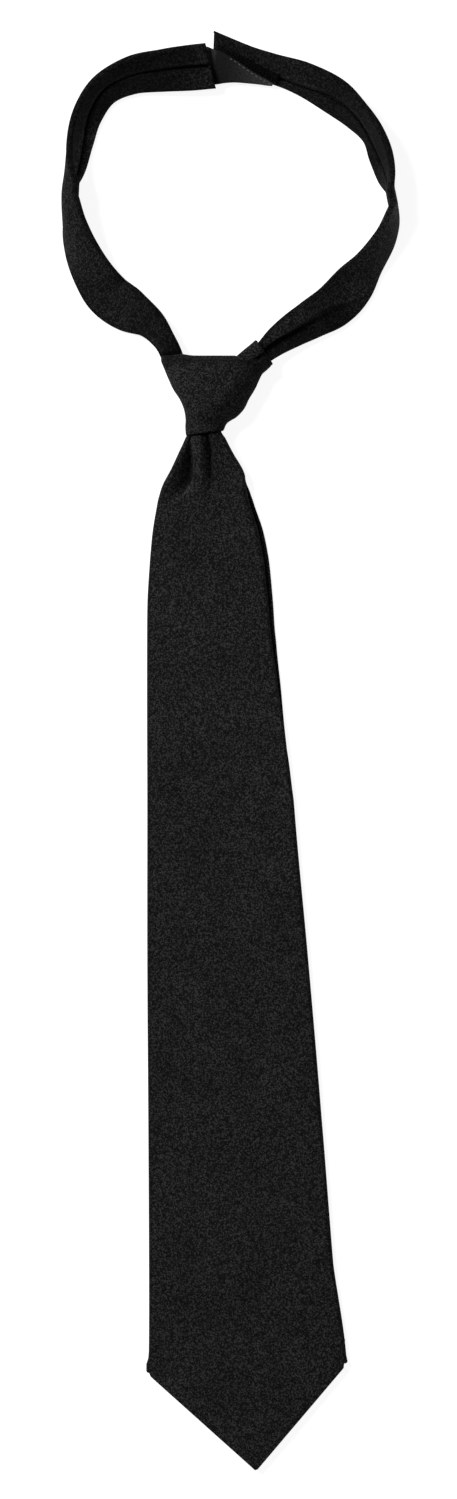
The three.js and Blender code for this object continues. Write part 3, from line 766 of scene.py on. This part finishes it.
# Section of a band with its outer face up, from the seam over the head edge and back.
def bandSection(row, thick):
    half = (row["width"] - min(thick, band["thick"])) / 2
    radius = thick / 2

    def inner(share, side):
        q = mix(side, row["seamAt"] + side * band["seam"], share)
        roll = band["seamRoll"] * math.exp(-((q - row["seamAt"]) / band["seamSpread"]) ** 2)
        return (q * half, bandCurve(row, q) - radius + roll)

    def edge(side, start, end):
        z = bandCurve(row, side)
        return [(side * half + x, z + y) for x, y in arc(0, 0, radius, start, end, band["foldColumns"])]

    inwards = [i / band["innerColumns"] for i in range(1, band["innerColumns"] + 1)]
    over = [mix(1, -1, i / band["outerColumns"]) for i in range(1, band["outerColumns"])]
    path = [inner(share, 1) for share in reversed(inwards)]
    path += edge(1, -90, 90)
    path += [(q * half, bandCurve(row, q) + radius) for q in over]
    path += edge(-1, 90, 270)
    path += [inner(share, -1) for share in inwards]
    return path


# Painted light and shade across a band: on the inner face painted shade in the seam beside a painted
# highlight on one edge, painted shade on the pressed edges, and a painted highlight on the outer
# crease's top with painted shade below it.
def paintedShadeAcross(row, j, across):
    inner, turn = band["innerColumns"], band["foldColumns"]
    fromSeam = min(j, across - j)
    over = clamp(1 - 2 * (j - inner - turn + 1) / band["outerColumns"], -1, 1)
    outer = mix(row["low"], row["head"], (over + 1) / 2)
    if fromSeam < inner + turn:
        innerShade = mix(row["innerLow"], row["innerHead"], 1 if j < across / 2 else 0)
        near = smoothStep(fromSeam, 0, inner)
        innerShade = mix((row["innerLow"] + row["innerHead"]) / 2, innerShade, near)
        shines = j < inner and band["shineFrom"] <= fromSeam <= band["shineTo"]
        innerShade *= band["seamHighlight"] if shines else 1
        innerShade *= mix(band["seamShade"], 1, smoothStep(fromSeam, 0, band["shineFrom"]))
        edge = 1 - abs(fromSeam - inner - turn / 2) / (turn / 2)
        innerShade = mix(innerShade, outer, smoothStep(fromSeam, inner, inner + turn))
        return innerShade * mix(1, band["edgeShade"], clamp(edge))
    below = row["ridgeAt"] - over
    onRidge = math.exp(-(below / band["ridgeSpread"]) ** 2)
    outer *= 1 + band["ridgeHighlight"] * min(1, row["ridge"]) * onRidge
    ease = 1 - band["shadeEase"] * smoothStep(below, band["easeFrom"], band["easeTo"])
    return outer * (1 - row["dark"] * smoothStep(below, band["shadeFrom"], band["shadeFull"]) * ease)


# Place and turn of a band at a row count.
def bandPlace(ribbon, at):
    rows = ribbon["rows"]
    row = ribbonAt(ribbon, at)
    before, after = rowAt(rows, at - band["step"]), rowAt(rows, at + band["step"])
    along = Vector((after["x"] - before["x"], after["y"] - before["y"], 0)).normalized()
    inward = Vector((along.y, -along.x, 0)) * ribbon["side"]
    up = Vector((0, 0, 1))
    span = row["width"] - band["thick"]
    flat = clamp(abs(row["across"]) - band["thick"], 0, span)
    tilt = math.acos(math.copysign(flat, row["across"]) / span)
    toHead = inward * math.cos(tilt) + up * math.sin(tilt)
    outward = up * math.cos(tilt) - inward * math.sin(tilt)
    lowest = min(x * toHead.z + z * outward.z for x, z in bandSection(row, band["thick"]))
    centre = Vector((row["x"], row["y"], max(0, row["lift"]) - lowest))
    return row, along, toHead, outward, centre


def makeBand(name, node, ribbon, outOfKnot):
    last = len(ribbon["rows"]) - 1
    stretch = [0]
    frames, paths = [], []
    for i in range(band["along"] + 1):
        frames.append(bandPlace(ribbon, last * i / band["along"]))
        if i:
            stretch.append(stretch[-1] + (frames[i][4] - frames[i - 1][4]).length)
    for i, (row, *_) in enumerate(frames):
        fromEnd = stretch[-1] - stretch[i]
        press = mix(band["pressed"], 1, math.sqrt(clamp(fromEnd / band["pressedOver"])))
        paths.append(bandSection(row, band["thick"] * press))
    across = len(paths[0]) - 1
    innerFace = band["innerColumns"]

    def place(i, j):
        row, along, toHead, outward, centre = frames[i]
        x, z = paths[i][j]
        at = last * i / band["along"]
        slope = ribbon["slant"] * smoothStep(at, last - 1, last)
        point = centre + toHead * x + outward * z + along * (x * slope)
        uneven = noise.noise(point / band["swellLength"]) * band["swell"]
        hidden = j < innerFace or j > across - innerFace
        point += outward * (-uneven if hidden else uneven)
        point.z = max(point.z, 0)
        # Painted light and shade across the band, and painted shade where it goes into the knot.
        tone = paintedShadeAcross(row, j, across)
        if at < band["gapRows"]:
            lit = smoothStep(outOfKnot(point, at), band["gapFrom"], band["gapTo"])
            tone *= mix(band["gapShade"], 1, lit)
        return point, tone

    piece = clothSheet(name, band["along"], across, place, band["sheet"], turned=ribbon["side"] < 0)
    dress(piece, cloth, node)
    print(name, "cut", round(stretch[-1]), "mm long")
    return piece


# The tapes lie on the inner face of the right band, hooks first and loops on them. at counts
# rows of the right band, and low and high are the tape's edges across it.
# On the hook tape, tone is painted shade beside the raised loop tape.
hookRows = table(
    "at low high tone",
    (19.9, -7.6, 5.6, 0.22),
    (19, -6.2, 3.6, 0.17),
    (18.3, -5.6, 1.2, 0.17),
    (17.7, -5.2, 0, 0.15),
)
# On the loop tape, tone is painted shade under the left band's end, with painted light in the gap
# beside it, and a painted highlight towards its narrow end.
loopRows = table(
    "at low high tone",
    (20.7, -11.4, 3.4, 0.2),
    (20.1, -11.4, 3.2, 1),
    (19.88, -11, 3.1, 0.26),
    (19.7, -10.6, 3, 0.2),
    (19.4, -9.2, 2.2, 0.26),
    (19, -7.9, 0.7, 0.55),
    (18.4, -6.9, -2.1, 1.05),
    (18, -6.3, -3.4, 1.2),
    (17.8, -5.7, -4.3, 1.3),
)
tape = dict(thick=1.0, gap=0.35, along=96, across=28, edgeRound=0.35)
hooks = dict(
    spacing=1.2, stalk=0.45, bend=0.35, turn=150, thick=0.28, sides=5, steps=4,
    sunk=0.15, tone=0.3,
    clear=0.7, margin=0.05,  # room to the loop tape and to the tape's ends, the latter in rows
    rowLength=12.3,  # millimetres from one row of the right band to the next, at the tapes
)
stitches = dict(
    first=17.9, last=19.35, count=10, inset=0.75, length=1.25, thick=0.32, proud=0.12,
    step=0.05,  # of a row, to find the edge's direction
)


# A point of a tape at rows and millimetres across, and how far it lies out of the band.
def tapePoint(at, x, out):
    _, along, toHead, outward, centre = bandPlace(rightRibbon, at)
    return centre + toHead * x - outward * (band["thick"] / 2 + out), along, toHead, -outward


def makeTape(name, node, rows, layer, material):
    out = layer * (tape["gap"] + tape["thick"])
    last = len(rows) - 1
    lines = [rowAt(rows, last * i / tape["along"]) for i in range(tape["along"] + 1)]
    corners = [tapePoint(row["at"], 0, out) for row in lines]

    def place(i, j):
        row, (point, _, toHead, outward) = lines[i], corners[i]
        x = mix(row["low"], row["high"], j / tape["across"])
        rim = min(x - row["low"], row["high"] - x)
        rounded = tape["edgeRound"] * (1 - min(1, rim / tape["edgeRound"])) ** 2
        return point + toHead * x - outward * rounded, row["tone"]

    piece = clothSheet(name, tape["along"], tape["across"], place, tape["thick"])
    dress(piece, material, node)
    print(name)
    return piece


# One hook: a stalk that bends over and points back down.
def hookShape():
    bm = bmesh.new()
    h = hooks
    bmesh.ops.create_circle(bm, segments=h["sides"], radius=h["thick"] / 2)
    stalk = bmesh.ops.extrude_edge_only(bm, edges=list(bm.edges))["geom"]
    top = [item for item in stalk if isinstance(item, bmesh.types.BMVert)]
    edges = [item for item in stalk if isinstance(item, bmesh.types.BMEdge)]
    ring = [edge for edge in edges if all(vert in top for vert in edge.verts)]
    bmesh.ops.translate(bm, verts=top, vec=(0, 0, h["stalk"]))
    bmesh.ops.spin(bm, geom=top + ring, cent=(h["bend"], 0, h["stalk"]), axis=(0, 1, 0),
                   angle=math.radians(h["turn"]), steps=h["steps"], use_merge=False)
    bmesh.ops.holes_fill(bm, edges=[edge for edge in bm.edges if edge.is_boundary], sides=0)
    bmesh.ops.recalc_face_normals(bm, faces=bm.faces)
    toneLayer = bm.verts.layers.float.new("tone")
    for vert in bm.verts:
        vert[toneLayer] = h["tone"]
    shape = bpy.data.meshes.new("hook")
    bm.to_mesh(shape)
    bm.free()
    return shape


def makeHooks(material):
    shape = hookShape()
    bm = bmesh.new()
    first, last = hookRows[-1]["at"] + hooks["margin"], hookRows[0]["at"] - hooks["margin"]
    steps = int((last - first) * hooks["rowLength"] / hooks["spacing"])
    footing = tape["gap"] + tape["thick"] - hooks["sunk"]
    count = 0
    for i in range(steps):
        at = mix(first, last, i / (steps - 1))
        row = rowWhere(hookRows, "at", at)
        cover = rowWhere(loopRows, "at", at)
        x = row["low"] + hooks["spacing"] * (0.5 + 0.5 * (i % 2))
        while x < row["high"] - hooks["spacing"] / 2:
            if not cover["low"] - hooks["clear"] < x < cover["high"] + hooks["clear"]:
                point, along, toHead, out = tapePoint(at, x, footing)
                before = len(bm.verts)
                bm.from_mesh(shape)
                bm.verts.ensure_lookup_table()
                turned = Matrix((along, toHead, out)).transposed().to_4x4()
                place = Matrix.Translation(point * mm) @ turned @ Matrix.Scale(mm, 4)
                bmesh.ops.transform(bm, matrix=place, verts=bm.verts[before:])
                count += 1
            x += hooks["spacing"]
    bmesh.ops.recalc_face_normals(bm, faces=bm.faces)
    piece = newObject("hook_tape_hooks", bm)
    dress(piece, material)
    bpy.data.meshes.remove(shape)
    print("hooks", count)
    return piece


# Stitches of pale thread along the slanting edge of the loop tape.
def makeStitches(material):
    bm = bmesh.new()
    for i in range(stitches["count"]):
        at = mix(stitches["first"], stitches["last"], i / (stitches["count"] - 1))
        row = rowWhere(loopRows, "at", at)
        ahead = rowWhere(loopRows, "at", at + stitches["step"])
        out = 2 * (tape["gap"] + tape["thick"]) + stitches["proud"]
        start, _, _, outward = tapePoint(at, row["high"] - stitches["inset"], out)
        end = tapePoint(at + stitches["step"], ahead["high"] - stitches["inset"], out)[0]
        run = (end - start).normalized()
        side = outward.cross(run)
        made = bmesh.ops.create_uvsphere(bm, u_segments=8, v_segments=6, radius=0.5)["verts"]
        for vert in made:
            x, y, z = vert.co
            vert.co = (start + run * (x * stitches["length"]) + side * (y * stitches["thick"])
                       + outward * (z * stitches["thick"])) * mm
    piece = newObject("loop_tape_stitches", bm)
    dress(piece, material)
    print("stitches")
    return piece


# The knot: a wrap of cloth round the blade's top, folded over along its top edge, with a lip
# round the right band. crest is where the front is highest across, and drop is how far it has
# fallen from there at the right side.

knotRows = table(
    "y left right low high crest drop",
    (162.2, -28.2, 10.6, 3, 14.4, 5, 0.6),
    (161.2, -28.4, 13.6, 2.4, 14.9, 5, 1),
    (159.8, -28.2, 15.6, 1.2, 16.4, 5, 1.8),
    (158.2, -27.6, 16.9, 0.4, 17.4, 4.6, 2.8),
    (156.6, -26.9, 15.6, 0, 17.8, 4.2, 3.6),
    (154.4, -26, 13.2, 0, 18.1, 3.4, 4.2),
    (151.6, -24.8, 11.8, 0, 18.3, 2, 4.8),
    (148.2, -23.2, 10.2, 0, 18.3, 0, 5.2),
    (144.2, -20.6, 7.8, 0.2, 17.7, -2.6, 5.2),
    (140.2, -18.9, 5.8, 0.8, 16.7, -5, 4.6),
    (136.1, -18.2, 2.2, 1.6, 15.3, -7.4, 3.4),
    (132.8, -18.3, -1, 2.2, 14.1, -9.2, 2),
    (129.2, -18, -2.6, 2.5, 13.3, -10.4, 1.2),
)
# Low ridges and hollows of the wrap's front, from one point to another, and the tone there: painted
# highlight above 1 and painted shade below 1.
knotCreases = table(
    "start end height spread tone",
    ((-21.2, 162), (-21, 156.2), 0.3, 0.45, 1.15),
    ((-21.6, 150.2), (-17.6, 153), 0.35, 0.6, 1.1),
    ((-26, 154.4), (-24, 151.6), 0, 1.1, 1.2),
    ((-26, 158.8), (-25.4, 157.2), 0, 1.8, 0.5),
    ((-24.5, 160.2), (9, 160.2), -0.25, 1.5, 0.55),
    ((5, 158.5), (16, 158.2), 0, 2.4, 0.5),
    ((10.5, 154), (-7, 135), -0.5, 3.2, 0.7),
    ((-5, 131.9), (-2.2, 132.3), 0, 1.1, 0.45),
)
knot = dict(
    sheet=0.55, fullness=2.6, across=176, capRows=16, bodyRows=84, rollRows=6, hemRows=4,
    top=162.0, topBulge=0.6, topBulgeAt=-20.0, topBulgeSpread=3.0,
    capFall=2.2, capCurve=5, capCrease=1.6, capCreaseSpread=0.16, capInset=1.5,
    dropCurve=1.6, creaseRise=3,  # creases fade this quickly towards the sides
    rimX=-17.6, rimY=129.2, rimSlope=0.14, rimFrom=138,  # the lower rim runs up to the right
    rimRadius=0.6, rimHem=2.6,
    rimBlend=1, topBlend=3,  # how far from the rim and the top their shapes reach
    lipFrom=0.3, lipTo=1.95, lipThick=1.2, lipGap=0.4, lipAlong=36, lipRoll=0.6, lipRollRows=6,
    lipRowLength=6.8,  # from one row of the right band to the next, at the lip
    mouthFrom=-0.3, mouthTo=4, mouthAlong=40, mouthSpare=0.1,  # rows of the bands, and room
    mouthSnap=1.2, mouthSmooth=6,
    ray=(0.03, 0.02, 1), rayStep=0.001,  # leans a little, so that it meets no edge
    leftExit=0.4, leftExitX=-28, leftExitSlope=0.09,  # where the left band comes out
    tone=0.94, lipTone=0.92,
)


# Height in y of the knot's lower rim at x.
def knotRim(x):
    return knot["rimY"] + (x - knot["rimX"]) * knot["rimSlope"]


# How near a point is to a crease, from 1 on it to 0 far off.
def nearness(x, y, crease):
    point, start, end = Vector((x, y)), Vector(crease["start"]), Vector(crease["end"])
    run = end - start
    share = clamp((point - start).dot(run) / run.length_squared)
    return math.exp(-((point - start - run * share).length / crease["spread"]) ** 2)


# The knot's tone, with the creases' painted highlights and painted shade.
def knotToneAndShading(x, y):
    tone = knot["tone"]
    for crease in knotCreases:
        tone *= mix(1, crease["tone"], nearness(x, y, crease))
    return tone


# Section of the wrap at one y, from the middle of its back round the right side and the front.
# flat is its share of the full height, and inset moves it inwards.
def knotSection(y, flat, inset):
    row = rowWhere(knotRows, "y", y)
    low = max(0, row["low"])
    halfWidth = (row["right"] - row["left"]) / 2
    halfHeight = (row["high"] - low) / 2
    points = []
    for j in range(knot["across"] + 1):
        turn = math.radians(-90 + 360 * j / knot["across"])
        side, rise = (math.copysign(abs(f) ** (2 / knot["fullness"]), f)
                      for f in (math.cos(turn), math.sin(turn)))
        reach = halfWidth - inset - knot["capInset"] * (1 - flat)
        x = (row["left"] + row["right"]) / 2 + reach * side
        z = low + halfHeight + (halfHeight - inset) * rise * flat
        if rise > 0:
            past = clamp((x - row["crest"]) / (row["right"] - row["crest"]))
            z -= rise * flat * row["drop"] * past ** knot["dropCurve"]
            raised = min(1, knot["creaseRise"] * rise) * flat
            for crease in knotCreases:
                z += crease["height"] * nearness(x, y, crease) * raised
        points.append(Vector((x, y, z)))
    return points


def knotWrap():
    k = knot
    rows = []
    for i in range(k["capRows"] + 1):
        flat = i / k["capRows"]
        y = k["top"] - k["capFall"] * flat ** k["capCurve"]
        points = knotSection(y, flat, 0)
        crease = k["capCrease"] * math.exp(-(flat / k["capCreaseSpread"]) ** 2)
        rows.append([point - Vector((0, crease, 0)) for point in points])
    bodyTop = k["top"] - k["capFall"]
    for i in range(1, k["bodyRows"] + 1):
        rows.append(knotSection(mix(bodyTop, k["rimY"] + k["rimRadius"], i / k["bodyRows"]), 1, 0))
    for i in range(1, k["rollRows"] + 1):
        turn = math.pi * i / k["rollRows"]
        y = k["rimY"] + k["rimRadius"] * (1 - math.sin(turn))
        rows.append(knotSection(y, 1, k["rimRadius"] * (1 - math.cos(turn))))
    for i in range(1, k["hemRows"] + 1):
        y = k["rimY"] + k["rimRadius"] + k["rimHem"] * i / k["hemRows"]
        rows.append(knotSection(y, 1, 2 * k["rimRadius"]))

    def place(i, j):
        point = rows[i][j].copy()
        nearRim = 1 - smoothStep(point.y, k["rimY"] + k["rimBlend"], k["rimFrom"])
        nearTop = smoothStep(point.y, bodyTop - k["topBlend"], k["top"])
        point.y += nearRim * (knotRim(point.x) - k["rimY"])
        bulge = (point.x - k["topBulgeAt"]) / k["topBulgeSpread"]
        point.y += nearTop * k["topBulge"] * math.exp(-bulge * bulge)
        front = k["across"] / 4 < j < 3 * k["across"] / 4
        return point, knotToneAndShading(point.x, point.y) if front else k["tone"]

    return clothSheet("knot_cloth", len(rows) - 1, k["across"], place, k["sheet"],
                      turned=True, closed=True)


# A tube round a band, wider than it by grow, between two row counts. Its end may roll inwards.
def bandSleeve(name, ribbon, start, end, grow, along, roll=0):
    rollRows = knot["lipRollRows"] if roll else 0

    def place(i, j):
        at = mix(start, end, min(1, i / along))
        row, forward, toHead, outward, centre = bandPlace(ribbon, at)
        turn = math.pi / 2 * max(0, i - along) / knot["lipRollRows"]
        inset = roll * (1 - math.cos(turn))
        section = bandSection(row, band["thick"] + 2 * (grow - inset))
        x, z = section[j % len(section)]
        point = centre + toHead * x + outward * z + forward * roll * math.sin(turn)
        return point, knot["lipTone"]

    across = len(bandSection(ribbonAt(ribbon, 0), band["thick"]))
    return clothSheet(name, along + rollRows, across, place, knot["sheet"],
                      turned=ribbon["side"] < 0, closed=True)


# Whether a point is inside a closed shape: a ray from it then meets the shape an odd number of times.
def isInside(tree, point):
    up, hits = Vector(knot["ray"]).normalized(), 0
    at = tree.ray_cast(point, up)[0]
    while at:
        hits += 1
        at = tree.ray_cast(at + up * knot["rayStep"] * mm, up)[0]
    return hits % 2 == 1


# Cuts away what of the wrap lies inside a sleeve, and draws the edge of the hole onto it.
def openMouth(bm, sleeve):
    shape = bmesh.new()
    shape.from_mesh(sleeve.data)
    bmesh.ops.holes_fill(shape, edges=[edge for edge in shape.edges if edge.is_boundary], sides=0)
    bmesh.ops.recalc_face_normals(shape, faces=shape.faces)
    tree = BVHTree.FromBMesh(shape)
    before = {vert for vert in bm.verts if vert.is_boundary}
    inside = [vert for vert in bm.verts if isInside(tree, vert.co)]
    bmesh.ops.delete(bm, geom=inside, context="VERTS")
    bmesh.ops.delete(bm, geom=[vert for vert in bm.verts if not vert.link_faces], context="VERTS")
    edge = [vert for vert in bm.verts if vert.is_boundary and vert not in before]
    for _ in range(knot["mouthSmooth"]):
        for vert in edge:
            at, _, _, away = tree.find_nearest(vert.co)
            if away < knot["mouthSnap"] * mm:
                vert.co = at
        middles = []
        for vert in edge:
            beside = [side.other_vert(vert).co for side in vert.link_edges if side.is_boundary]
            middles.append(sum(beside, Vector()) / len(beside))
        for vert, middle in zip(edge, middles):
            vert.co = (vert.co + middle) / 2
    shape.free()
    bpy.data.objects.remove(sleeve)


def makeKnot():
    k = knot
    piece = knotWrap()
    bm = bmesh.new()
    bm.from_mesh(piece.data)
    lipGrow = k["lipGap"] + k["lipThick"]
    for name, ribbon, grow in (("left_mouth", leftRibbon, k["lipGap"]),
                               ("right_mouth", rightRibbon, lipGrow + k["mouthSpare"])):
        openMouth(bm, bandSleeve(name, ribbon, k["mouthFrom"], k["mouthTo"], grow, k["mouthAlong"]))
    lip = bandSleeve("lip", rightRibbon, k["lipFrom"], k["lipTo"], lipGrow, k["lipAlong"],
                     k["lipRoll"])
    bm.from_mesh(lip.data)
    bm.to_mesh(piece.data)
    bm.free()
    bpy.data.objects.remove(lip)
    piece.data.polygons.foreach_set("use_smooth", [True] * len(piece.data.polygons))
    dress(piece, cloth, "knot")
    print("knot", len(piece.data.polygons))
    return piece


# How far a point of each band has come out of the knot.
def outOfLeftSide(point, at):
    side = knot["leftExit"] + knot["leftExitSlope"] * (point.x - knot["leftExitX"])
    return point.y - knot["top"] - side


def outOfLip(point, at):
    return (at - knot["lipTo"]) * knot["lipRowLength"]


makeCamera()
makeStudio()
cloth = wovenPolyester("black woven polyester", blackCloth)
bladeCloth = makeBlade()
knotCloth = makeKnot()
leftBand = makeBand("neckband_left_cloth", "neckband_left", leftRibbon, outOfLeftSide)
rightBand = makeBand("neckband_right_cloth", "neckband_right", rightRibbon, outOfLip)
nylonHooks = wovenPolyester("black nylon hook tape", blackHooks)
hookTape = makeTape("hook_tape_cloth", "hook_tape", hookRows, 1, nylonHooks)
hookField = makeHooks(nylonHooks)
nylonLoops = knittedLoops("grey nylon loop tape", greyLoops)
loopTape = makeTape("loop_tape_cloth", "loop_tape", loopRows, 2, nylonLoops)
tapeStitches = makeStitches(spunThread("pale polyester thread", paleThread))
